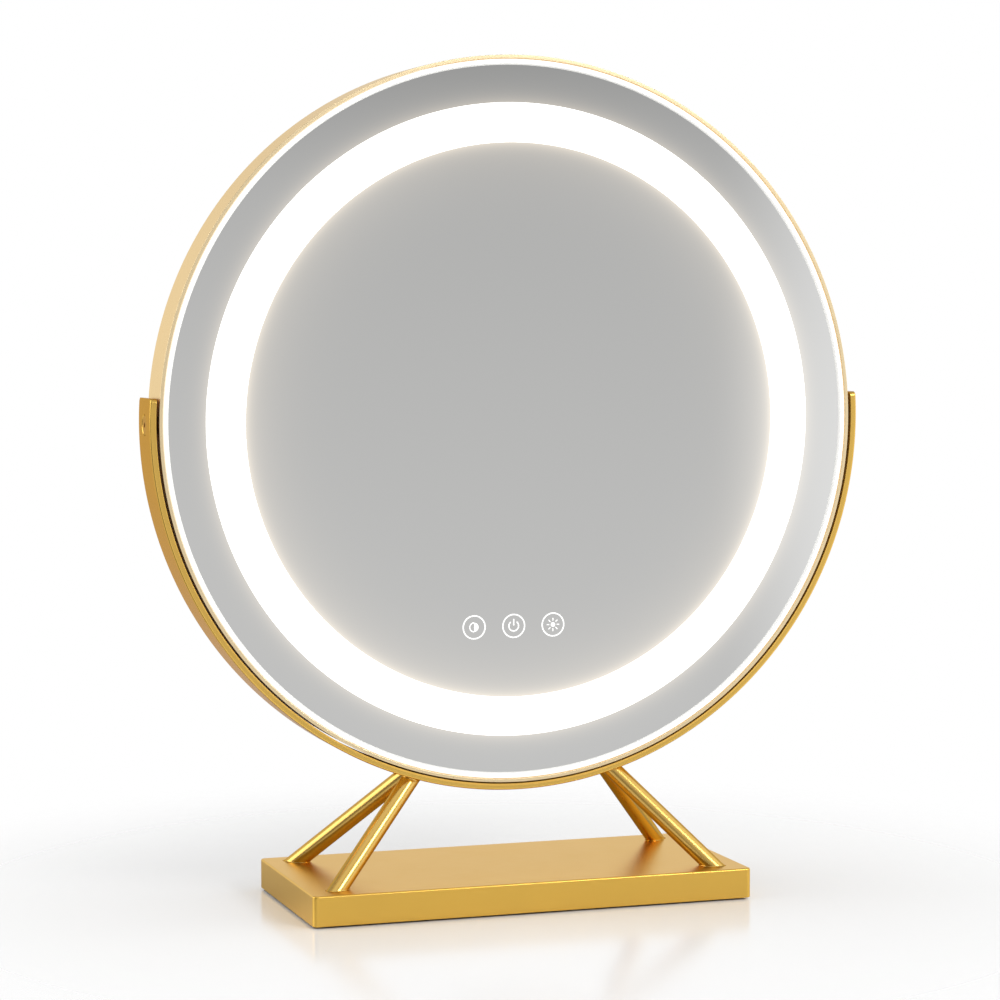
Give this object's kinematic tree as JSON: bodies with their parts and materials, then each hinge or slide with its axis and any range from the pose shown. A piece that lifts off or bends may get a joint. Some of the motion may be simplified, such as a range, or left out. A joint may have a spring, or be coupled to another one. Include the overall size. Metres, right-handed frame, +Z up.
{
  "type": "lighted vanity mirror",
  "caption": "Round tabletop vanity mirror with a lit ring in the glass and touch keys, tilting in a half-ring yoke on four slanted rods and a weighted rectangular base.",
  "frame": {"origin": "centre of the base's outline, on the plane the feet rest on", "axes": "+Z up, -Y towards the person who looks in the mirror, +X to that person's right"},
  "size_m": [0.422, 0.12, 0.4808],
  "materials": {
    "gold_metal": "satin gold plate",
    "gold_aluminium": "satin gold anodised",
    "mirror_glass": "polished",
    "white_plastic": "smooth",
    "light_diffuser": "frosted",
    "steel": "plated",
    "black_steel": "matt powder coat",
    "rubber": "matt",
    "dark_nylon": "satin",
    "circuit_board": "lacquered",
    "black_plastic": "smooth",
    "lead_sheath": "smooth"
  },
  "bodies": {
    "stand": {"base_shell": "gold_metal", "bottom_plate": "black_steel", "bottom_screw_back_left": "steel", "bottom_screw_back_right": "steel", "bottom_screw_front_left": "steel", "bottom_screw_front_right": "steel", "counterweight": "steel", "foot_back_left": "rubber", "foot_back_right": "rubber", "foot_front_left": "rubber", "foot_front_right": "rubber", "leg_back_left": "gold_metal", "leg_back_right": "gold_metal", "leg_front_left": "gold_metal", "leg_front_right": "gold_metal", "pivot_bolt_left": "gold_metal", "pivot_bolt_right": "gold_metal", "pivot_nut_left": "steel", "pivot_nut_right": "steel", "pivot_washer_left": "dark_nylon", "pivot_washer_right": "dark_nylon", "yoke": "gold_metal"},
    "mirror_head": {"back_cover": "white_plastic", "cover_screw_1": "black_steel", "cover_screw_2": "black_steel", "cover_screw_3": "black_steel", "cover_screw_4": "black_steel", "cover_screw_5": "black_steel", "cover_screw_6": "black_steel", "driver_board": "circuit_board", "hoop": "gold_aluminium", "housing": "white_plastic", "jack_lead": "lead_sheath", "light_channel": "white_plastic", "light_diffuser": "light_diffuser", "light_strip": "white_plastic", "mirror_glass": "mirror_glass", "pivot_block_left": "steel", "pivot_block_right": "steel", "power_jack": "black_plastic", "power_jack_nut": "steel", "strip_lead": "lead_sheath", "touch_board": "circuit_board", "touch_lead": "lead_sheath"}
  },
  "joints": [
    {"name": "head_tilt", "type": "hinge", "parent": "stand", "child": "mirror_head", "pos_m": [0, -0.009, 0.275], "axis": [1, 0, 0], "continuous": true}
  ]
}
